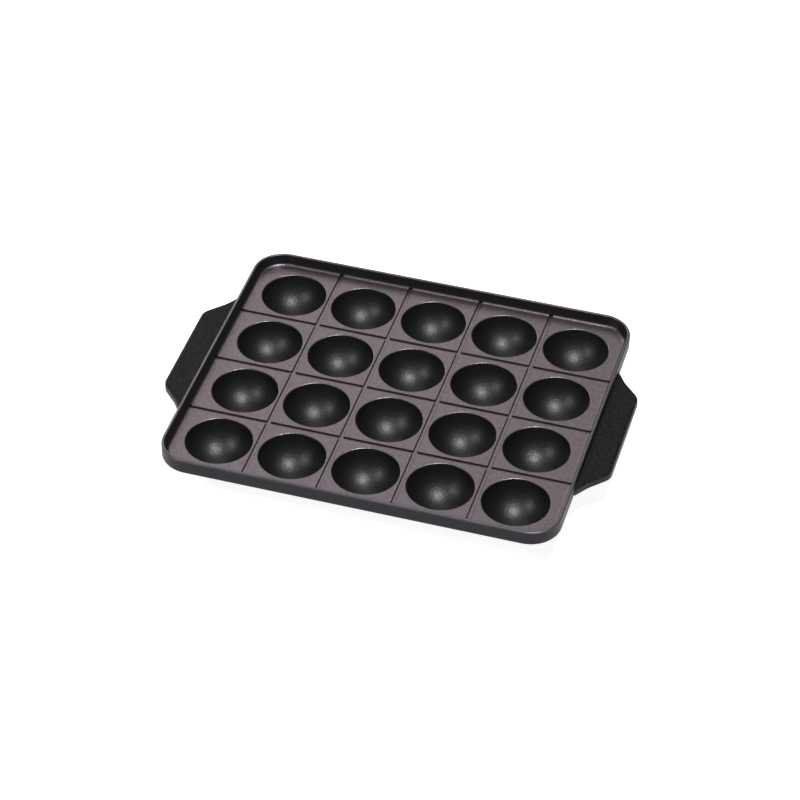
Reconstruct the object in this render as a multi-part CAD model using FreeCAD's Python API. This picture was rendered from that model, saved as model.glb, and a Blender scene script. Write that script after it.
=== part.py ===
import FreeCAD, Part
import math
import os

# A takoyaki plate: one cast tray with 20 round cups, a raised rim and crossing
# grooves, carried at its short ends by two moulded grips that are screwed on.
# Millimetres. X runs along the long side, Y away from the cook, Z up.
# The origin is the middle of the footprint, level with the feet of the cups.

# Cup field
COLUMNS = 5
ROWS = 4
COLUMN_PITCH = 45.5
ROW_PITCH = 48.0
CUP_MOUTH = 40.0
CUP_DEPTH = 18.5
CUP_WALL = 3.0
CUP_LIP = 0.9
CUP_FOOT = 16.0
CUP_SIDES = 16
CUP_BANDS = 3
CUP_OUTER_LEVELS = (0.43, 1.0)

# Floor of the tray and the grooves that part its cells
FLOOR_THICKNESS = 3.0
GROOVE_WIDTH = 2.8
GROOVE_BED = 1.8
GROOVE_DEPTH = 1.0

# Rim round the tray
END_MARGIN = 30.5
SIDE_MARGIN = 31.0
RIM_HEIGHT = 7.0
RIM_LAND = 2.0
RIM_DRAFT = 8.0
RIM_CORNER = 19.0
RIM_ROUNDING = 0.6
COVE_RADIUS = 2.4
COVE_BANDS = 3
HEEL = 2.0

# Grips at the short ends
GRIP_REACH = 17.3
GRIP_ROOT_SPAN = 112.0
GRIP_WAIST_SPAN = 94.0
GRIP_WAIST_REACH = 6.0
GRIP_END_SPAN = 71.0
GRIP_WAIST_BEND = 2.2
GRIP_CORNER_BEND = 3.6
GRIP_DROP = 2.8
GRIP_THICKNESS = 6.4
GRIP_EDGE_RADIUS = 2.0
GRIP_SKIN = 2.6
GRIP_WALL = 2.6
GRIP_GAP = 0.3

# Lugs of the casting that the grips sit on, and the fixings
LUG_SPACING = 50.0
LUG_WIDTH = 13.0
LUG_THICKNESS = 2.4
LUG_CLEARANCE = 0.4
SCREW_OUT = 7.8
SCREW_DIAMETER = 4.0
SCREW_HOLE = 4.5
SCREW_HEAD_DIAMETER = 7.6
SCREW_HEAD_HEIGHT = 2.6
SCREW_HEAD_TAPER = 0.8
SCREW_TIP_GAP = 0.3
CROSS_LENGTH = 4.2
CROSS_WIDTH = 1.0
CROSS_DEPTH = 1.4
THREAD_GAP = 0.05
WASHER_DIAMETER = 7.0
WASHER_HOLE = 4.2
WASHER_THICKNESS = 1.0
WASHER_SPLIT = 0.8
INSERT_FLATS = 6.0
INSERT_LENGTH = 2.8
BOSS_WALL = 1.8

# Closeness used to pick edges and faces by their place
NEAR = 0.001

# Worked out from the sizes above
PLATE_LENGTH = (COLUMNS - 1) * COLUMN_PITCH + 2 * END_MARGIN
PLATE_WIDTH = (ROWS - 1) * ROW_PITCH + 2 * SIDE_MARGIN
FLOOR_Z = CUP_DEPTH + CUP_WALL
UNDER_Z = FLOOR_Z - FLOOR_THICKNESS
RIM_Z = FLOOR_Z + RIM_HEIGHT
CUP_RADIUS = ((CUP_MOUTH / 2) ** 2 + CUP_DEPTH**2) / (2 * CUP_DEPTH)
CUP_CENTRE_Z = CUP_WALL + CUP_RADIUS
GRIP_ROOT_X = PLATE_LENGTH / 2 + GRIP_GAP
GRIP_TOP_Z = RIM_Z - GRIP_DROP
GRIP_BOTTOM_Z = GRIP_TOP_Z - GRIP_THICKNESS
LUG_TOP_Z = GRIP_BOTTOM_Z + LUG_THICKNESS
SCREW_X = PLATE_LENGTH / 2 + SCREW_OUT
WASHER_BOTTOM_Z = GRIP_BOTTOM_Z - WASHER_THICKNESS
HEAD_BOTTOM_Z = WASHER_BOTTOM_Z - SCREW_HEAD_HEIGHT
INSERT_TOP_Z = LUG_TOP_Z + INSERT_LENGTH
INSERT_CORNERS = INSERT_FLATS / math.cos(math.pi / 6)
BOSS_DIAMETER = INSERT_CORNERS + 2 * BOSS_WALL


def box(x0, x1, y0, y1, z0, z1):
    return Part.makeBox(x1 - x0, y1 - y0, z1 - z0, FreeCAD.Vector(x0, y0, z0))


def cylinder(diameter, z0, z1, x=0.0, y=0.0):
    return Part.makeCylinder(diameter / 2, z1 - z0, FreeCAD.Vector(x, y, z0))


def moved(shape, x, y):
    other = shape.copy()
    other.translate(FreeCAD.Vector(x, y, 0))
    return other


def half_turn(shape):
    other = shape.copy()
    other.rotate(FreeCAD.Vector(0, 0, 0), FreeCAD.Vector(0, 0, 1), 180)
    return other


def spread(count, pitch):
    return [(i - (count - 1) / 2) * pitch for i in range(count)]


def cup_places():
    return [(x, y) for x in spread(COLUMNS, COLUMN_PITCH) for y in spread(ROWS, ROW_PITCH)]


def screw_places():
    return [(SCREW_X, y) for y in spread(2, LUG_SPACING)]


def rounded_rectangle(wall, z):
    """The plate's outline, drawn in by wall, at height z."""
    edges = []
    radius = RIM_CORNER - wall
    for turn in range(4):
        sides = (PLATE_LENGTH, PLATE_WIDTH) if turn % 2 == 0 else (PLATE_WIDTH, PLATE_LENGTH)
        x, y = sides[0] / 2 - wall, sides[1] / 2 - wall
        start = FreeCAD.Vector(x, radius - y, z)
        bend = FreeCAD.Vector(x, y - radius, z)
        halfway = radius * (1 - math.sqrt(0.5))
        middle = FreeCAD.Vector(x - halfway, y - halfway, z)
        end = FreeCAD.Vector(x - radius, y, z)
        for edge in (Part.LineSegment(start, bend).toShape(), Part.Arc(bend, middle, end).toShape()):
            edge.rotate(FreeCAD.Vector(0, 0, 0), FreeCAD.Vector(0, 0, 1), 90 * turn)
            edges.append(edge)
    return Part.Wire(edges)


def polygon_ring(radius, z, sides):
    turns = [2 * math.pi * i / sides for i in range(sides)]
    return [FreeCAD.Vector(radius * math.cos(t), radius * math.sin(t), z) for t in turns]


def flat_face(points):
    return Part.Face(Part.makePolygon(points + points[:1]))


def turned_solid(profile):
    """A closed many-sided solid of flat faces, from its profile of (radius, height) going up."""
    rings = [polygon_ring(radius, z, CUP_SIDES) for radius, z in profile]
    faces = [flat_face(rings[0]), flat_face(rings[-1])]
    for low, high in zip(rings, rings[1:]):
        for i in range(CUP_SIDES):
            j = (i + 1) % CUP_SIDES
            faces.append(flat_face([low[i], low[j], high[j], high[i]]))
    solid = Part.Solid(Part.Shell(faces))
    if solid.Volume < 0:
        solid.reverse()
    return solid


def tray_blank():
    middle = HEEL * (1 - math.sqrt(0.5))
    walls = [(HEEL, UNDER_Z), (middle, UNDER_Z + middle), (0, UNDER_Z + HEEL)]
    walls += [(0, RIM_Z - RIM_ROUNDING), (RIM_ROUNDING, RIM_Z)]
    return Part.makeLoft([rounded_rectangle(wall, z) for wall, z in walls], True, True)


def cove_sections():
    """Wall and height from the floor's edge up the hollow of the cove to the top of the rim."""
    lean = math.radians(RIM_DRAFT)
    foot = RIM_LAND + RIM_HEIGHT * math.tan(lean)
    sweep = math.pi / 2 - lean
    tangent = COVE_RADIUS * math.tan(sweep / 2)
    sections = []
    for i in range(COVE_BANDS + 1):
        turn = sweep * i / COVE_BANDS
        wall = foot + tangent - COVE_RADIUS * math.sin(turn)
        rise = COVE_RADIUS * (1 - math.cos(turn))
        sections.append((wall, FLOOR_Z + rise))
    return sections


def tray_hollow():
    sections = cove_sections()
    lean = math.tan(math.radians(RIM_DRAFT))
    sections.append((RIM_LAND + RIM_ROUNDING * lean, RIM_Z - RIM_ROUNDING))
    sections.append((RIM_LAND - RIM_ROUNDING, RIM_Z))
    return Part.makeLoft([rounded_rectangle(wall, z) for wall, z in sections], True, True)


def cup_outside():
    reach = CUP_RADIUS + CUP_WALL
    top = UNDER_Z + FLOOR_THICKNESS / 2
    profile = [(CUP_FOOT / 2, 0)]
    for level in CUP_OUTER_LEVELS:
        z = level * top
        profile.append((math.sqrt(reach**2 - (CUP_CENTRE_Z - z) ** 2), z))
    return turned_solid(profile)


def cup_hollow():
    """A bowl of flat bands on the cup's sphere, with a small lip at the floor."""
    mouth_turn = math.acos((CUP_CENTRE_Z - FLOOR_Z + CUP_LIP) / CUP_RADIUS)
    profile = []
    for i in range(CUP_BANDS + 1):
        turn = mouth_turn * (i + 0.5) / (CUP_BANDS + 0.5)
        profile.append((CUP_RADIUS * math.sin(turn), CUP_CENTRE_Z - CUP_RADIUS * math.cos(turn)))
    profile += [(CUP_MOUTH / 2 + CUP_LIP, z) for z in (FLOOR_Z, RIM_Z)]
    return turned_solid(profile)


def groove(length):
    half_bed, half_top, bed_z = GROOVE_BED / 2, GROOVE_WIDTH / 2, FLOOR_Z - GROOVE_DEPTH
    corners = [(-half_bed, bed_z), (half_bed, bed_z), (half_top, FLOOR_Z)]
    corners += [(half_top, RIM_Z), (-half_top, RIM_Z), (-half_top, FLOOR_Z)]
    profile = [FreeCAD.Vector(-length / 2, y, z) for y, z in corners]
    return flat_face(profile).extrude(FreeCAD.Vector(length, 0, 0))


def grooves():
    foot = 2 * (RIM_LAND + RIM_HEIGHT * math.tan(math.radians(RIM_DRAFT)))
    made = [moved(groove(PLATE_LENGTH - foot), 0, y) for y in spread(ROWS - 1, ROW_PITCH)]
    across = groove(PLATE_WIDTH - foot)
    across.rotate(FreeCAD.Vector(0, 0, 0), FreeCAD.Vector(0, 0, 1), 90)
    made += [moved(across, x, 0) for x in spread(COLUMNS - 1, COLUMN_PITCH)]
    return made


def lug(x, y):
    strap = box(PLATE_LENGTH / 2 - RIM_LAND, x, y - LUG_WIDTH / 2, y + LUG_WIDTH / 2, GRIP_BOTTOM_Z, LUG_TOP_Z)
    eye = cylinder(LUG_WIDTH, GRIP_BOTTOM_Z, LUG_TOP_Z, x, y)
    return strap.fuse(eye).cut(cylinder(SCREW_HOLE, GRIP_BOTTOM_Z, LUG_TOP_Z, x, y))


def grill_plate():
    lugs = [lug(x, y) for x, y in screw_places()]
    lugs += [half_turn(one) for one in lugs]
    plate = tray_blank().multiFuse([moved(cup_outside(), x, y) for x, y in cup_places()] + lugs)
    plate = plate.cut([tray_hollow()] + grooves())
    return plate.cut([moved(cup_hollow(), x, y) for x, y in cup_places()])


def bend(before, corner, after, length):
    """The arc that rounds a corner, leaving its two straight sides at length from it."""
    back = (before - corner).normalize()
    ahead = (after - corner).normalize()
    both = back + ahead
    half_sine = math.sqrt(1 - both.Length**2 / 4)
    middle = corner + both * (length / 2 / (1 + half_sine))
    return Part.Arc(corner + back * length, middle, corner + ahead * length).toShape()


def grip_outline():
    """The grip seen from above, as a prism of its full thickness with its corners rounded."""
    root = (GRIP_ROOT_X, GRIP_ROOT_SPAN / 2)
    waist = (GRIP_ROOT_X + GRIP_WAIST_REACH, GRIP_WAIST_SPAN / 2)
    end = (PLATE_LENGTH / 2 + GRIP_REACH, GRIP_END_SPAN / 2)
    plan = [root, waist, end] + [(x, -y) for x, y in (end, waist, root)]
    points = [FreeCAD.Vector(x, y, GRIP_BOTTOM_Z) for x, y in plan]
    edges = []
    here = points[0]
    for i, length in enumerate((GRIP_WAIST_BEND, GRIP_CORNER_BEND, GRIP_CORNER_BEND, GRIP_WAIST_BEND)):
        curve = bend(points[i], points[i + 1], points[i + 2], length)
        edges += [Part.makeLine(here, curve.Vertexes[0].Point), curve]
        here = curve.Vertexes[1].Point
    edges += [Part.makeLine(here, points[-1]), Part.makeLine(points[-1], points[0])]
    return Part.Face(Part.Wire(edges)).extrude(FreeCAD.Vector(0, 0, GRIP_THICKNESS))


def rim_edges(prism, z):
    """Edges of a grip at height z, without the one against the plate."""
    found = []
    for edge in prism.Edges:
        bounds = edge.BoundBox
        level = abs(bounds.ZMin - z) < NEAR and abs(bounds.ZMax - z) < NEAR
        if level and bounds.XMax > GRIP_ROOT_X + NEAR:
            found.append(edge)
    return found


def insert_body():
    hexagon = flat_face(polygon_ring(INSERT_CORNERS / 2, LUG_TOP_Z, 6))
    return hexagon.extrude(FreeCAD.Vector(0, 0, INSERT_LENGTH))


def grip():
    prism = grip_outline()
    floor = [f for f in prism.Faces if abs(f.BoundBox.ZMax - GRIP_BOTTOM_Z) < NEAR][0]
    inside = floor.makeOffset2D(-GRIP_WALL)
    inside = inside.extrude(FreeCAD.Vector(0, 0, GRIP_THICKNESS - GRIP_SKIN))
    body = prism.makeFillet(GRIP_EDGE_RADIUS, rim_edges(prism, GRIP_TOP_Z))
    body = body.makeChamfer(GRIP_EDGE_RADIUS / 2, rim_edges(body, GRIP_BOTTOM_Z))
    body = body.cut(inside)
    half = LUG_WIDTH / 2 + LUG_CLEARANCE
    for x, y in screw_places():
        body = body.fuse(cylinder(BOSS_DIAMETER, LUG_TOP_Z, GRIP_TOP_Z - GRIP_SKIN / 2, x, y))
        slot = box(GRIP_ROOT_X - GRIP_GAP, x, y - half, y + half, GRIP_BOTTOM_Z, LUG_TOP_Z)
        body = body.cut([slot, moved(insert_body(), x, y)])
    return body


def threaded_insert():
    bore = SCREW_DIAMETER + 2 * THREAD_GAP
    return insert_body().cut(cylinder(bore, LUG_TOP_Z, INSERT_TOP_Z))


def spring_washer():
    ring = cylinder(WASHER_DIAMETER, WASHER_BOTTOM_Z, GRIP_BOTTOM_Z)
    ring = ring.cut(cylinder(WASHER_HOLE, WASHER_BOTTOM_Z, GRIP_BOTTOM_Z))
    half = WASHER_SPLIT / 2
    return ring.cut(box(0, WASHER_DIAMETER, -half, half, WASHER_BOTTOM_Z, GRIP_BOTTOM_Z))


def screw():
    wide = SCREW_HEAD_DIAMETER / 2
    foot = FreeCAD.Vector(0, 0, HEAD_BOTTOM_Z)
    head = Part.makeCone(wide - SCREW_HEAD_TAPER, wide, SCREW_HEAD_HEIGHT, foot)
    cross = box(-CROSS_LENGTH / 2, CROSS_LENGTH / 2, -CROSS_WIDTH / 2, CROSS_WIDTH / 2,
                HEAD_BOTTOM_Z, HEAD_BOTTOM_Z + CROSS_DEPTH)
    other = cross.copy()
    other.rotate(FreeCAD.Vector(0, 0, 0), FreeCAD.Vector(0, 0, 1), 90)
    shank = cylinder(SCREW_DIAMETER, WASHER_BOTTOM_Z, INSERT_TOP_Z - SCREW_TIP_GAP)
    return head.fuse(shank).cut([cross, other])


def both_ends(name, shapes):
    """Writes the right-hand group and the same group turned to the left-hand end."""
    group = shapes[0] if len(shapes) == 1 else Part.makeCompound(shapes)
    group.exportStep("parts/" + name + "_right.step")
    half_turn(group).exportStep("parts/" + name + "_left.step")


def main():
    os.makedirs("parts", exist_ok=True)
    grill_plate().exportStep("parts/grill_plate.step")
    both_ends("grip", [grip()])
    both_ends("grip_inserts", [moved(threaded_insert(), x, y) for x, y in screw_places()])
    both_ends("grip_washers", [moved(spring_washer(), x, y) for x, y in screw_places()])
    both_ends("grip_screws", [moved(screw(), x, y) for x, y in screw_places()])


main()
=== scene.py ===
import math

import bmesh
import bpy
from mathutils import Matrix, Vector


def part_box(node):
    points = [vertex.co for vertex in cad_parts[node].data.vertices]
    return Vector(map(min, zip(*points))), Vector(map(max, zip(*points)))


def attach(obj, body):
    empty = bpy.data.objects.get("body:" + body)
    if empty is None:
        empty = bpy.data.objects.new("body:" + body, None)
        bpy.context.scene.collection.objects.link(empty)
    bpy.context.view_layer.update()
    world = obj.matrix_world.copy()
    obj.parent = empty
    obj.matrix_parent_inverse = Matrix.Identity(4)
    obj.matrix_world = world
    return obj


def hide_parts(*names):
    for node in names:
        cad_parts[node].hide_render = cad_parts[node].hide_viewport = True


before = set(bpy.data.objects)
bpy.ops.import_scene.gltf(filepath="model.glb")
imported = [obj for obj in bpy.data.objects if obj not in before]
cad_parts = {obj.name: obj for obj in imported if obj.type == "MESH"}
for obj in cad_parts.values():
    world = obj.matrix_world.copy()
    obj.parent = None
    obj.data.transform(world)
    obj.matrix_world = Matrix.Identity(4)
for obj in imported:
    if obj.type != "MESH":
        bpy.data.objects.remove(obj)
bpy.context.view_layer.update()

MM = 0.001

# Cup field, as in the CAD
COLUMNS = 5
ROWS = 4
COLUMN_PITCH = 45.5 * MM
ROW_PITCH = 48.0 * MM
CUP_MOUTH = 40.0 * MM
CUP_DEPTH = 18.5 * MM
CUP_WALL = 3.0 * MM
CUP_FOOT = 16.0 * MM
FOOT_TAPER = 0.5 * MM
LIP_RADIUS = 0.8 * MM

# Tray
GRIP_GAP = 0.3 * MM
FLOOR_THICKNESS = 3.0 * MM
GROOVE_WIDTH = 2.8 * MM
GROOVE_BED = 1.8 * MM
GROOVE_DEPTH = 1.0 * MM
RIM_LAND = 2.0 * MM
RIM_DRAFT = math.radians(8.0)
RIM_CORNER = 19.0 * MM
RIM_ROUNDING = 0.75 * MM
COVE_RADIUS = 2.4 * MM
HEEL_RADIUS = 2.0 * MM

# Screw lugs under the grips
LUG_SPACING = 50.0 * MM
LUG_WIDTH = 13.0 * MM
LUG_EYE_OUT = 7.8 * MM
LUG_HOLE = 4.5 * MM
HOLE_OVERRUN = 1.0 * MM

PLATE_LOW, PLATE_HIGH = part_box("grill_plate")
PLATE_LENGTH = 2 * (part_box("grip_right")[0].x - GRIP_GAP)
PLATE_WIDTH = PLATE_HIGH.y - PLATE_LOW.y
FLOOR_Z = CUP_DEPTH + CUP_WALL
UNDER_Z = FLOOR_Z - FLOOR_THICKNESS
RIM_Z = PLATE_HIGH.z
RIM_HEIGHT = RIM_Z - FLOOR_Z
CUP_RADIUS = ((CUP_MOUTH / 2) ** 2 + CUP_DEPTH**2) / (2 * CUP_DEPTH)
CUP_CENTRE_Z = CUP_WALL + CUP_RADIUS
LUG_LOW_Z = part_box("grip_right")[0].z
LUG_HIGH_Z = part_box("grip_inserts_right")[0].z

# Finishes, in linear colour
COATING_COLOUR = (0.230, 0.189, 0.208)
COATING_ROUGHNESS = 0.36
# Painted highlight: a lighter colour painted on the rounded cup lips
LIP_PAINTED_HIGHLIGHT = (0.27, 0.25, 0.26)
RIM_COLOUR = (0.185, 0.180, 0.195)
# Painted shade: a darker colour for steep faces of the coating, blended in between the two slopes
# below
WALL_PAINTED_SHADE = (0.085, 0.080, 0.090)
WALL_SLOPE = 0.55
FLOOR_SLOPE = 0.97
OUTSIDE_COLOUR = (0.020, 0.018, 0.023)
# Painted shade: a darker colour painted inside the cups
CUP_PAINTED_SHADE = (0.062, 0.061, 0.064)
SEASONED_ROUGHNESS = 0.45
OIL_WEIGHT = 0.14
OIL_ROUGHNESS = 0.30
RESIN_COLOUR = (0.010, 0.010, 0.010)
BRASS_COLOUR = (0.62, 0.46, 0.20)
SPRING_STEEL_COLOUR = (0.10, 0.10, 0.105)
ZINC_COLOUR = (0.56, 0.57, 0.58)
TABLE_COLOUR = (0.8, 0.8, 0.8, 1.0)
WHITE = (1.0, 1.0, 1.0, 1.0)

# A face of the plate whose normal leans up less than this wears the outside coating
OUTSIDE_LEAN = 0.08

# Grain: noise values that become 0 and 1, and the noise's own fineness
GRAIN_LOW = 0.3
GRAIN_HIGH = 0.7
NOISE_DETAIL = 2.0
NOISE_ROUGHNESS = 0.6

# A Mix node's places for its first and second value and its result
MIX_PLACES = {"FLOAT": (2, 3, 0), "RGBA": (6, 7, 2)}

# Fineness of the round surfaces
TURN_STEPS = 72
BOWL_STEPS = 18
CORNER_STEPS = 14
EDGE_STEPS = 6
HOLE_STEPS = 24
SHARP_ANGLE = math.radians(32)

# White table: what shows of it, and how far it lies under the feet
TABLE_GLOW = 0.92
TABLE_GAP = 0.2 * MM
TABLE_REACH = 4.0

# Lamps: name, direction from the plate, distance, width, height, radiance
LAMPS = (
    ("key_softbox", (0.220, -0.195, 0.956), 1.2, 0.22, 0.22, 63.0),
    ("left_softbox", (-0.549, -0.514, 0.657), 1.2, 0.20, 0.20, 20.0),
    ("edge_strip", (-0.75, 0.60, 0.30), 1.3, 0.30, 0.30, 6.0),
    ("back_screen", (-0.320, 0.687, 0.653), 1.5, 1.0, 0.8, 1.15),
)
AMBIENT = 0.05

# The photograph's view of the plate; the lens and the sensor in millimetres
CAMERA_AZIMUTH = math.radians(16.0196)
CAMERA_ELEVATION = math.radians(40.7859)
CAMERA_ROLL = math.radians(0.73616)
CAMERA_DISTANCE = 1818.6 * MM
CAMERA_TARGET = Vector((1.01 * MM, -5.02 * MM, FLOOR_Z))
CAMERA_LENS = 135.87
SENSOR_WIDTH = 36.0


def arc(centre, radius, start, end, steps):
    """Points on an arc of a profile or a plan, angles in degrees."""
    across, up = centre
    points = []
    for i in range(steps + 1):
        turn = math.radians(start + (end - start) * i / steps)
        points.append((across + radius * math.cos(turn), up + radius * math.sin(turn)))
    return points


def new_mesh(name, verts, faces):
    """A mesh object of that name in the scene."""
    mesh = bpy.data.meshes.new(name)
    mesh.from_pydata([tuple(v) for v in verts], [], faces)
    mesh.validate()
    piece = bpy.data.objects.new(name, mesh)
    bpy.context.scene.collection.objects.link(piece)
    return piece


def revolve(name, profile):
    """A closed turned solid about Z from (radius, height) points; the ends lie on the axis."""
    inner = profile[1:-1]
    verts = [(0, 0, profile[0][1]), (0, 0, profile[-1][1])]
    for radius, z in inner:
        for i in range(TURN_STEPS):
            turn = 2 * math.pi * i / TURN_STEPS
            verts.append((radius * math.cos(turn), radius * math.sin(turn), z))
    faces = []
    last = 2 + (len(inner) - 1) * TURN_STEPS
    for i in range(TURN_STEPS):
        j = (i + 1) % TURN_STEPS
        faces.append((0, 2 + j, 2 + i))
        faces.append((1, last + i, last + j))
        for k in range(len(inner) - 1):
            a, b = 2 + k * TURN_STEPS, 2 + (k + 1) * TURN_STEPS
            faces.append((a + i, a + j, b + j, b + i))
    return new_mesh(name, verts, faces)


def outline(wall):
    """The plate's rounded outline, drawn in by wall, as (x, y) points going round."""
    half_x, half_y = PLATE_LENGTH / 2 - wall, PLATE_WIDTH / 2 - wall
    radius = RIM_CORNER - wall
    points = []
    for quarter, (sx, sy) in enumerate(((1, 1), (-1, 1), (-1, -1), (1, -1))):
        centre = (sx * (half_x - radius), sy * (half_y - radius))
        points += arc(centre, radius, 90 * quarter, 90 * (quarter + 1), CORNER_STEPS)
    return points


def tray_profile():
    """(wall, height) from the middle of the underside round the outside to the tray floor."""
    lean = math.tan(RIM_DRAFT)
    foot = RIM_LAND + RIM_HEIGHT * lean
    sweep = 90 - math.degrees(RIM_DRAFT)
    tangent = COVE_RADIUS * math.tan(math.radians(sweep) / 2)
    profile = arc((HEEL_RADIUS, UNDER_Z + HEEL_RADIUS), HEEL_RADIUS, 270, 180, EDGE_STEPS)
    profile += arc((RIM_ROUNDING, RIM_Z - RIM_ROUNDING), RIM_ROUNDING, 180, 90, EDGE_STEPS)
    inner = (RIM_LAND - RIM_ROUNDING, RIM_Z - RIM_ROUNDING)
    profile += arc(inner, RIM_ROUNDING, 90, math.degrees(RIM_DRAFT), EDGE_STEPS)
    centre = (foot + tangent, FLOOR_Z + COVE_RADIUS)
    profile += arc(centre, COVE_RADIUS, 180 + math.degrees(RIM_DRAFT), 270, 2 * EDGE_STEPS)
    return profile


def tray_blank():
    """The tray as a solid block with a well: the profile followed round the outline."""
    profile = tray_profile()
    verts = []
    for wall, z in profile:
        verts += [(x, y, z) for x, y in outline(wall)]
    count = len(outline(0))
    faces = [tuple(reversed(range(count))), tuple(range(len(verts) - count, len(verts)))]
    for k in range(len(profile) - 1):
        for i in range(count):
            j = (i + 1) % count
            a, b = k * count, (k + 1) * count
            faces.append((a + i, a + j, b + j, b + i))
    return new_mesh("tray_blank", verts, faces)


def cup_cutter():
    """The air in one cup, with the rounded lip where it meets the floor."""
    lip_out = CUP_RADIUS + LIP_RADIUS
    centre_drop = CUP_CENTRE_Z - (FLOOR_Z - LIP_RADIUS)
    lip_x = math.sqrt(lip_out**2 - centre_drop**2)
    meet = math.asin(centre_drop / lip_out)
    profile = []
    for i in range(BOWL_STEPS + 1):
        turn = -math.pi / 2 + (math.pi / 2 - meet) * i / BOWL_STEPS
        profile.append((CUP_RADIUS * math.cos(turn), CUP_CENTRE_Z + CUP_RADIUS * math.sin(turn)))
    lip = arc((lip_x, FLOOR_Z - LIP_RADIUS), LIP_RADIUS, 180 - math.degrees(meet), 90, EDGE_STEPS)
    profile += lip[1:] + [(lip_x, RIM_Z), (0, RIM_Z)]
    return revolve("cup_cutter", profile)


def cup_shell():
    """The outside of one cup down to its flat foot, reaching up into the floor."""
    reach = CUP_RADIUS + CUP_WALL
    top = UNDER_Z + FLOOR_THICKNESS / 2
    foot_turn = math.asin(CUP_FOOT / 2 / reach)
    top_turn = math.acos((CUP_CENTRE_Z - top) / reach)
    profile = [(0, 0), (CUP_FOOT / 2 - FOOT_TAPER, 0)]
    for i in range(1, BOWL_STEPS + 1):
        turn = foot_turn + (top_turn - foot_turn) * i / BOWL_STEPS
        profile.append((reach * math.sin(turn), CUP_CENTRE_Z - reach * math.cos(turn)))
    profile.append((0, top))
    return revolve("cup_shell", profile)


def number_input(tree, name, kind, value):
    """An input of a node group with its usual value."""
    socket = tree.interface.new_socket(name=name, in_out="INPUT", socket_type=kind)
    socket.default_value = value


def cup_field_tree():
    """A node tree that sets one shape at every cup; counts and pitches are its inputs."""
    tree = bpy.data.node_groups.new("cup_field", "GeometryNodeTree")
    tree.interface.new_socket(name="Shape", in_out="INPUT", socket_type="NodeSocketGeometry")
    number_input(tree, "Columns", "NodeSocketInt", COLUMNS)
    number_input(tree, "Rows", "NodeSocketInt", ROWS)
    number_input(tree, "Column pitch", "NodeSocketFloat", COLUMN_PITCH)
    number_input(tree, "Row pitch", "NodeSocketFloat", ROW_PITCH)
    tree.interface.new_socket(name="Finish", in_out="INPUT", socket_type="NodeSocketMaterial")
    tree.interface.new_socket(name="Cups", in_out="OUTPUT", socket_type="NodeSocketGeometry")
    nodes, links = tree.nodes, tree.links
    given = nodes.new("NodeGroupInput")
    grid = nodes.new("GeometryNodeMeshGrid")
    for count, pitch, side, vertices in (
        ("Columns", "Column pitch", "Size X", "Vertices X"),
        ("Rows", "Row pitch", "Size Y", "Vertices Y"),
    ):
        steps = nodes.new("ShaderNodeMath")
        steps.operation = "SUBTRACT"
        steps.inputs[1].default_value = 1
        size = nodes.new("ShaderNodeMath")
        size.operation = "MULTIPLY"
        links.new(given.outputs[count], steps.inputs[0])
        links.new(steps.outputs[0], size.inputs[0])
        links.new(given.outputs[pitch], size.inputs[1])
        links.new(size.outputs[0], grid.inputs[side])
        links.new(given.outputs[count], grid.inputs[vertices])
    place = nodes.new("GeometryNodeInstanceOnPoints")
    realize = nodes.new("GeometryNodeRealizeInstances")
    finish = nodes.new("GeometryNodeSetMaterial")
    out = nodes.new("NodeGroupOutput")
    links.new(grid.outputs["Mesh"], place.inputs["Points"])
    links.new(given.outputs["Shape"], place.inputs["Instance"])
    links.new(place.outputs["Instances"], realize.inputs["Geometry"])
    links.new(realize.outputs["Geometry"], finish.inputs["Geometry"])
    links.new(given.outputs["Finish"], finish.inputs["Material"])
    links.new(finish.outputs["Geometry"], out.inputs["Cups"])
    return tree


def socket_id(tree, name):
    """The name under which a modifier keeps an input of the tree."""
    return next(item.identifier for item in tree.interface.items_tree if item.name == name)


def spread_over_cups(piece, tree, material):
    """Replaces piece by its copies at all the cups, as one plain mesh."""
    modifier = piece.modifiers.new("cup_field", "NODES")
    modifier.node_group = tree
    modifier[socket_id(tree, "Finish")] = material
    graph = bpy.context.evaluated_depsgraph_get()
    graph.update()
    mesh = bpy.data.meshes.new_from_object(piece.evaluated_get(graph))
    piece.modifiers.remove(modifier)
    piece.data = mesh
    return piece


def bar(name, x0, x1, section):
    """A straight prism along X from x0 to x1 with the given (y, z) section."""
    count = len(section)
    verts = [(x, y, z) for x in (x0, x1) for y, z in section]
    faces = [tuple(range(count)), tuple(reversed(range(count, 2 * count)))]
    for i in range(count):
        j = (i + 1) % count
        faces.append((i, count + i, count + j, j))
    return new_mesh(name, verts, faces)


def groove_cutters():
    """A drafted bar for each groove, from rim foot to rim foot."""
    foot = RIM_LAND + RIM_HEIGHT * math.tan(RIM_DRAFT)
    bed, top = FLOOR_Z - GROOVE_DEPTH, RIM_Z
    half_bed, half_top = GROOVE_BED / 2, GROOVE_WIDTH / 2
    section = [(-half_bed, bed), (half_bed, bed), (half_top, FLOOR_Z), (half_top, top)]
    section += [(-half_top, top), (-half_top, FLOOR_Z)]
    cutters = []
    half = PLATE_LENGTH / 2 - foot
    for j in range(ROWS - 1):
        cutter = bar("groove_along", -half, half, section)
        cutter.data.transform(Matrix.Translation((0, (j - (ROWS - 2) / 2) * ROW_PITCH, 0)))
        cutters.append(cutter)
    half = PLATE_WIDTH / 2 - foot
    for i in range(COLUMNS - 1):
        cutter = bar("groove_across", -half, half, section)
        cutter.data.transform(Matrix.Rotation(math.pi / 2, 4, "Z"))
        cutter.data.transform(Matrix.Translation(((i - (COLUMNS - 2) / 2) * COLUMN_PITCH, 0, 0)))
        cutters.append(cutter)
    return cutters


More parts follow.
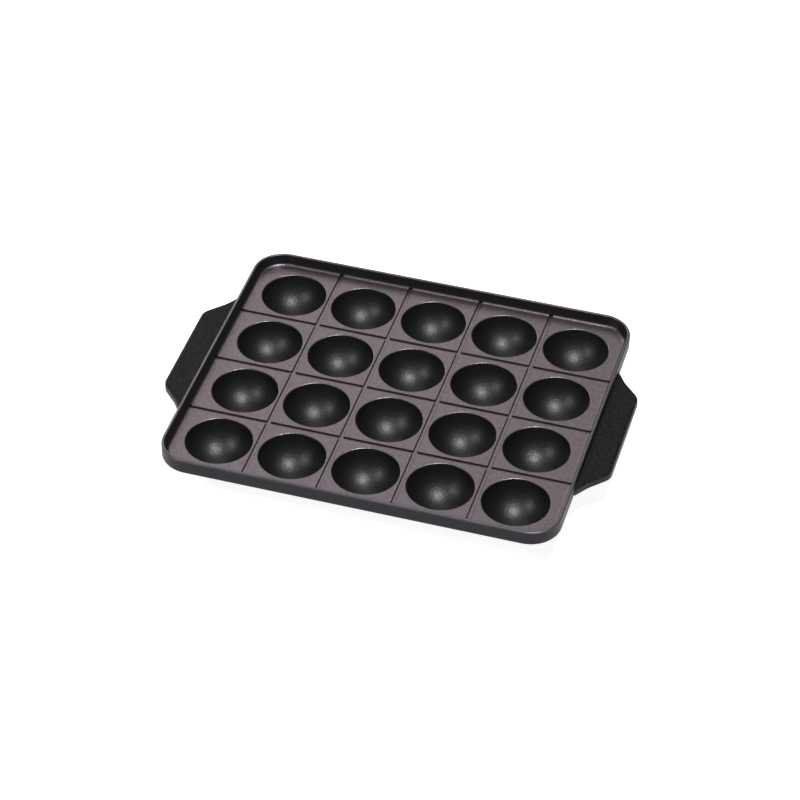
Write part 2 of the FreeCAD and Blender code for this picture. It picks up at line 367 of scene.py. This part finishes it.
def lugs_and_holes():
    """The four screw lugs and the holes through them."""
    lugs, holes = [], []
    eye_x = PLATE_LENGTH / 2 + LUG_EYE_OUT
    root_x = PLATE_LENGTH / 2 - RIM_LAND / 2
    half = LUG_WIDTH / 2
    for side in (0, math.pi):
        for y in (-LUG_SPACING / 2, LUG_SPACING / 2):
            round_end = arc((eye_x, 0), half, -90, 90, HOLE_STEPS)
            lug_plan = [(root_x, -half)] + round_end + [(root_x, half)]
            hole_plan = arc((eye_x, 0), LUG_HOLE / 2, 0, 360, HOLE_STEPS)[1:]
            lug = upright(lug_plan, LUG_LOW_Z, LUG_HIGH_Z)
            hole = upright(hole_plan, LUG_LOW_Z - HOLE_OVERRUN, LUG_HIGH_Z + HOLE_OVERRUN)
            for piece, group in ((lug, lugs), (hole, holes)):
                piece.data.transform(Matrix.Translation((0, y, 0)))
                piece.data.transform(Matrix.Rotation(side, 4, "Z"))
                group.append(piece)
    return lugs, holes


def upright(plan, z0, z1):
    """A straight prism from z0 to z1 over an (x, y) plan."""
    count = len(plan)
    verts = [(x, y, z) for z in (z0, z1) for x, y in plan]
    faces = [tuple(reversed(range(count))), tuple(range(count, 2 * count))]
    for i in range(count):
        j = (i + 1) % count
        faces.append((i, j, count + j, count + i))
    return new_mesh("upright", verts, faces)


def joined(name, pieces):
    """The pieces as one object; they may still cross each other."""
    with bpy.context.temp_override(active_object=pieces[0], selected_editable_objects=pieces):
        bpy.ops.object.join()
    pieces[0].name = name
    return pieces[0]


def outward(piece):
    """Turns every face's normal outward, as a boolean needs it."""
    work = bmesh.new()
    work.from_mesh(piece.data)
    bmesh.ops.recalc_face_normals(work, faces=work.faces)
    work.to_mesh(piece.data)
    work.free()


def combine(piece, other, operation, self_overlap=False):
    """One exact boolean, applied; the other piece is used up."""
    modifier = piece.modifiers.new("combine", "BOOLEAN")
    modifier.object = other
    modifier.operation = operation
    modifier.solver = "EXACT"
    modifier.use_self = self_overlap
    graph = bpy.context.evaluated_depsgraph_get()
    graph.update()
    mesh = bpy.data.meshes.new_from_object(piece.evaluated_get(graph))
    piece.modifiers.remove(modifier)
    piece.data = mesh
    bpy.data.objects.remove(other)


def grill_plate(coating, outside):
    """The whole casting in place of the CAD's plate, with its cups as true spheres."""
    tree = cup_field_tree()
    plate = tray_blank()
    shells = spread_over_cups(cup_shell(), tree, coating)
    hollows = spread_over_cups(cup_cutter(), tree, coating)
    lugs, holes = lugs_and_holes()
    lug_group = joined("lugs", lugs)
    hole_group = joined("lug_holes", holes)
    groove_group = joined("grooves", groove_cutters())
    for piece in (plate, shells, hollows, lug_group, hole_group, groove_group):
        outward(piece)
    combine(plate, shells, "UNION")
    combine(plate, lug_group, "UNION")
    combine(plate, hole_group, "DIFFERENCE")
    combine(plate, groove_group, "DIFFERENCE", True)
    combine(plate, hollows, "DIFFERENCE")
    plate.name = "grill_plate_casting"
    plate.data.materials.clear()
    for material in (coating, outside):
        plate.data.materials.append(material)
    for face in plate.data.polygons:
        face.material_index = 1 if face.normal.z < OUTSIDE_LEAN else 0
    plate.data.shade_smooth()
    plate.data.set_sharp_from_angle(angle=SHARP_ANGLE)
    weigh = plate.modifiers.new("weigh", "WEIGHTED_NORMAL")
    weigh.keep_sharp = True
    weigh.mode = "FACE_AREA"
    graph = bpy.context.evaluated_depsgraph_get()
    graph.update()
    mesh = bpy.data.meshes.new_from_object(plate.evaluated_get(graph))
    plate.modifiers.remove(weigh)
    plate.data = mesh
    return plate


def grain_group():
    """Fine grain and a slow mottle on the piece's own coordinates, each between 0 and 1."""
    tree = bpy.data.node_groups.new("surface_grain", "ShaderNodeTree")
    number_input(tree, "Grain scale", "NodeSocketFloat", 900.0)
    number_input(tree, "Mottle scale", "NodeSocketFloat", 60.0)
    for name in ("Grain", "Mottle"):
        tree.interface.new_socket(name=name, in_out="OUTPUT", socket_type="NodeSocketFloat")
    nodes, links = tree.nodes, tree.links
    given = nodes.new("NodeGroupInput")
    place = nodes.new("ShaderNodeTexCoord")
    out = nodes.new("NodeGroupOutput")
    for scale, target in (("Grain scale", "Grain"), ("Mottle scale", "Mottle")):
        noise = nodes.new("ShaderNodeTexNoise")
        noise.inputs["Detail"].default_value = NOISE_DETAIL
        noise.inputs["Roughness"].default_value = NOISE_ROUGHNESS
        stretch = nodes.new("ShaderNodeMapRange")
        stretch.interpolation_type = "SMOOTHSTEP"
        stretch.inputs["From Min"].default_value = GRAIN_LOW
        stretch.inputs["From Max"].default_value = GRAIN_HIGH
        links.new(place.outputs["Object"], noise.inputs["Vector"])
        links.new(given.outputs[scale], noise.inputs["Scale"])
        links.new(noise.outputs["Fac"], stretch.inputs["Value"])
        links.new(stretch.outputs["Result"], out.inputs[target])
    return tree


def blend(tree, kind, factor, first, second):
    """A Mix of two values or colours by a factor socket; returns its result socket."""
    mix = tree.nodes.new("ShaderNodeMix")
    mix.data_type = kind
    first_place, second_place, result_place = MIX_PLACES[kind]
    tree.links.new(factor, mix.inputs[0])
    for place, value in ((first_place, first), (second_place, second)):
        if isinstance(value, bpy.types.NodeSocket):
            tree.links.new(value, mix.inputs[place])
        elif kind == "FLOAT":
            mix.inputs[place].default_value = value
        else:
            mix.inputs[place].default_value = (*value, 1)
    return mix.outputs[result_place]


def surface(name, grain, colour, metallic, roughness,
            grain_scale=900.0, speckle=0.1, mottle=0.1, mottle_scale=60.0,
            bump=0.2, bump_height=0.03, specular=0.5):
    """A Principled material whose grain speckles the colour and the normal; bump_height in mm."""
    material = bpy.data.materials.new(name)
    material.use_nodes = True
    tree = material.node_tree
    nodes, links = tree.nodes, tree.links
    shader = nodes["Principled BSDF"]
    group = nodes.new("ShaderNodeGroup")
    group.node_tree = grain
    group.inputs["Grain scale"].default_value = grain_scale
    group.inputs["Mottle scale"].default_value = mottle_scale
    low = [c * (1 - mottle) for c in colour]
    high = [c * (1 + mottle) for c in colour]
    slow = blend(tree, "RGBA", group.outputs["Mottle"], low, high)
    shade = nodes.new("ShaderNodeMapRange")
    shade.inputs["To Min"].default_value = 1 - speckle
    shade.inputs["To Max"].default_value = 1 + speckle
    speckled = nodes.new("ShaderNodeVectorMath")
    speckled.operation = "SCALE"
    bumps = nodes.new("ShaderNodeBump")
    bumps.inputs["Strength"].default_value = bump
    bumps.inputs["Distance"].default_value = bump_height * MM
    links.new(group.outputs["Grain"], shade.inputs["Value"])
    links.new(slow, speckled.inputs[0])
    links.new(shade.outputs["Result"], speckled.inputs["Scale"])
    links.new(speckled.outputs[0], shader.inputs["Base Color"])
    relief = nodes.new("ShaderNodeMath")
    relief.operation = "ADD"
    links.new(group.outputs["Grain"], relief.inputs[0])
    links.new(group.outputs["Mottle"], relief.inputs[1])
    links.new(relief.outputs[0], bumps.inputs["Height"])
    links.new(bumps.outputs["Normal"], shader.inputs["Normal"])
    shader.inputs["Metallic"].default_value = metallic
    shader.inputs["Roughness"].default_value = roughness
    shader.inputs["Specular IOR Level"].default_value = specular
    return material


def shade_by_form(material):
    """Painted highlight on the cup lips, painted shade in the oiled cups and on the steep walls,
    for the coating, by height and slope.
    """
    tree = material.node_tree
    nodes, links = tree.nodes, tree.links
    shader = nodes["Principled BSDF"]
    plain = shader.inputs["Base Color"].links[0].from_socket
    bumped = shader.inputs["Normal"].links[0].from_socket
    place = nodes.new("ShaderNodeTexCoord")
    height = nodes.new("ShaderNodeSeparateXYZ")
    slope = nodes.new("ShaderNodeSeparateXYZ")
    links.new(place.outputs["Object"], height.inputs[0])
    links.new(place.outputs["Normal"], slope.inputs[0])
    lip = smooth_step(tree, height.outputs["Z"], FLOOR_Z - LIP_RADIUS / 4, FLOOR_Z)
    bed = smooth_step(tree, height.outputs["Z"], FLOOR_Z - GROOVE_DEPTH, FLOOR_Z - LIP_RADIUS)
    rim = smooth_step(tree, height.outputs["Z"], RIM_Z - 2 * RIM_ROUNDING, RIM_Z - RIM_ROUNDING)
    groove_z = FLOOR_Z - GROOVE_DEPTH
    cup = smooth_step(tree, height.outputs["Z"], groove_z - LIP_RADIUS, groove_z)
    wall = smooth_step(tree, slope.outputs["Z"], WALL_SLOPE, FLOOR_SLOPE)
    # Painted highlight: the lip band gets the lighter colour, which fades back to the plain
    # coating at floor level
    lip_highlighted = blend(tree, "RGBA", bed, plain, LIP_PAINTED_HIGHLIGHT)
    colour = blend(tree, "RGBA", lip, lip_highlighted, plain)
    colour = blend(tree, "RGBA", rim, colour, RIM_COLOUR)
    # Painted shade: steep faces take the darker wall colour
    colour = blend(tree, "RGBA", wall, WALL_PAINTED_SHADE, colour)
    # Painted shade: below the groove bed the cups take the darker colour
    colour = blend(tree, "RGBA", cup, CUP_PAINTED_SHADE, colour)
    links.new(colour, shader.inputs["Base Color"])
    roughness = blend(tree, "FLOAT", cup, SEASONED_ROUGHNESS, COATING_ROUGHNESS)
    links.new(roughness, shader.inputs["Roughness"])
    links.new(blend(tree, "FLOAT", cup, OIL_WEIGHT, 0.0), shader.inputs["Coat Weight"])
    links.new(bumped, shader.inputs["Coat Normal"])
    shader.inputs["Coat Roughness"].default_value = OIL_ROUGHNESS


def smooth_step(tree, value, low, high):
    """0 below low, 1 above high, and a smooth change between them."""
    step = tree.nodes.new("ShaderNodeMapRange")
    step.interpolation_type = "SMOOTHSTEP"
    step.inputs["From Min"].default_value = low
    step.inputs["From Max"].default_value = high
    tree.links.new(value, step.inputs["Value"])
    return step.outputs["Result"]


def dress(node, material):
    """Gives a CAD node its finish; its mesh is left as it is."""
    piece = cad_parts[node]
    piece.data.materials.clear()
    piece.data.materials.append(material)


def paint_all():
    """Makes the finishes, dresses the CAD's pieces and sets the cast plate in place."""
    grain = grain_group()
    coating = surface(
        "dark_nonstick_coating", grain, COATING_COLOUR, metallic=0.9, roughness=COATING_ROUGHNESS,
        grain_scale=900.0, speckle=0.12, mottle=0.06, mottle_scale=430.0,
        bump=1.0, bump_height=0.04,
    )
    shade_by_form(coating)
    outside = surface(
        "dark_outside_coating", grain, OUTSIDE_COLOUR, metallic=0.5, roughness=0.5,
        grain_scale=1100.0, speckle=0.12, mottle=0.05, specular=0.3,
    )
    resin = surface(
        "sandy_black_resin", grain, RESIN_COLOUR, metallic=0.0, roughness=0.52,
        grain_scale=900.0, speckle=0.7, mottle=0.3, mottle_scale=450.0,
        bump=1.0, bump_height=0.06, specular=0.2,
    )
    brass = surface(
        "turned_brass", grain, BRASS_COLOUR, metallic=1.0, roughness=0.34, mottle=0.04,
    )
    dark_steel = surface(
        "blackened_spring_steel", grain, SPRING_STEEL_COLOUR, metallic=0.9, roughness=0.45,
    )
    zinc = surface(
        "zinc_plated_steel", grain, ZINC_COLOUR, metallic=1.0, roughness=0.32, mottle=0.04,
    )
    for side in ("left", "right"):
        dress("grip_" + side, resin)
        dress("grip_inserts_" + side, brass)
        dress("grip_washers_" + side, dark_steel)
        dress("grip_screws_" + side, zinc)
    plate = grill_plate(coating, outside)
    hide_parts("grill_plate")
    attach(plate, "root")


def seen_ray(tree):
    """1 for rays that show a surface: from the camera, in gloss and through clear pieces."""
    path = tree.nodes.new("ShaderNodeLightPath")
    total = path.outputs["Is Camera Ray"]
    for name in ("Is Glossy Ray", "Is Transmission Ray"):
        larger = tree.nodes.new("ShaderNodeMath")
        larger.operation = "MAXIMUM"
        tree.links.new(total, larger.inputs[0])
        tree.links.new(path.outputs[name], larger.inputs[1])
        total = larger.outputs[0]
    return total


def studio_floor():
    """A white table top that keeps a faint shadow of the plate."""
    material = bpy.data.materials.new("white_table")
    material.use_nodes = True
    tree = material.node_tree
    shader = tree.nodes["Principled BSDF"]
    shader.inputs["Base Color"].default_value = TABLE_COLOUR
    shader.inputs["Roughness"].default_value = 1.0
    shader.inputs["Specular IOR Level"].default_value = 0.0
    shader.inputs["Emission Color"].default_value = WHITE
    glow = tree.nodes.new("ShaderNodeMath")
    glow.operation = "MULTIPLY"
    glow.inputs[1].default_value = TABLE_GLOW
    tree.links.new(seen_ray(tree), glow.inputs[0])
    tree.links.new(glow.outputs[0], shader.inputs["Emission Strength"])
    corners = [(x, y, -TABLE_GAP) for x, y in ((-1, -1), (1, -1), (1, 1), (-1, 1))]
    corners = [(x * TABLE_REACH, y * TABLE_REACH, z) for x, y, z in corners]
    table = new_mesh("table_top", corners, [(0, 1, 2, 3)])
    table.data.materials.append(material)


def aimed(location, target):
    """A matrix at location whose -Z looks at target."""
    back = (location - target).normalized()
    right = Vector((0, 0, 1)).cross(back).normalized()
    up = back.cross(right)
    rotation = Matrix((right, up, back)).transposed().to_4x4()
    return Matrix.Translation(location) @ rotation


def area_lamp(name, direction, distance, width, height, radiance):
    """A soft panel in that direction from the plate; radiance 1 reads as white in a mirror."""
    data = bpy.data.lights.new(name, "AREA")
    data.shape = "RECTANGLE"
    data.size = width
    data.size_y = height
    data.energy = radiance * math.pi * width * height
    lamp = bpy.data.objects.new(name, data)
    bpy.context.scene.collection.objects.link(lamp)
    centre = Vector((0, 0, FLOOR_Z))
    lamp.matrix_world = aimed(centre + Vector(direction).normalized() * distance, centre)


def lights():
    """Four soft panels and a dim white surround."""
    world = bpy.data.worlds.new("studio")
    bpy.context.scene.world = world
    world.use_nodes = True
    background = world.node_tree.nodes["Background"]
    background.inputs["Color"].default_value = WHITE
    background.inputs["Strength"].default_value = AMBIENT
    for lamp in LAMPS:
        area_lamp(*lamp)


def camera():
    """The fitted camera of the photograph."""
    azimuth, elevation = CAMERA_AZIMUTH, CAMERA_ELEVATION
    back = Vector((
        math.sin(azimuth) * math.cos(elevation),
        -math.cos(azimuth) * math.cos(elevation),
        math.sin(elevation),
    ))
    view = aimed(CAMERA_TARGET + back * CAMERA_DISTANCE, CAMERA_TARGET)
    data = bpy.data.cameras.new("photo_view")
    data.lens = CAMERA_LENS
    data.sensor_width = SENSOR_WIDTH
    seen = bpy.data.objects.new("photo_view", data)
    bpy.context.scene.collection.objects.link(seen)
    seen.matrix_world = view @ Matrix.Rotation(CAMERA_ROLL, 4, "Z")
    bpy.context.scene.camera = seen


def main():
    """Builds the picture: the finishes, the table, the lamps and the camera."""
    paint_all()
    studio_floor()
    lights()
    camera()
    bpy.context.scene.view_settings.view_transform = "Standard"


main()
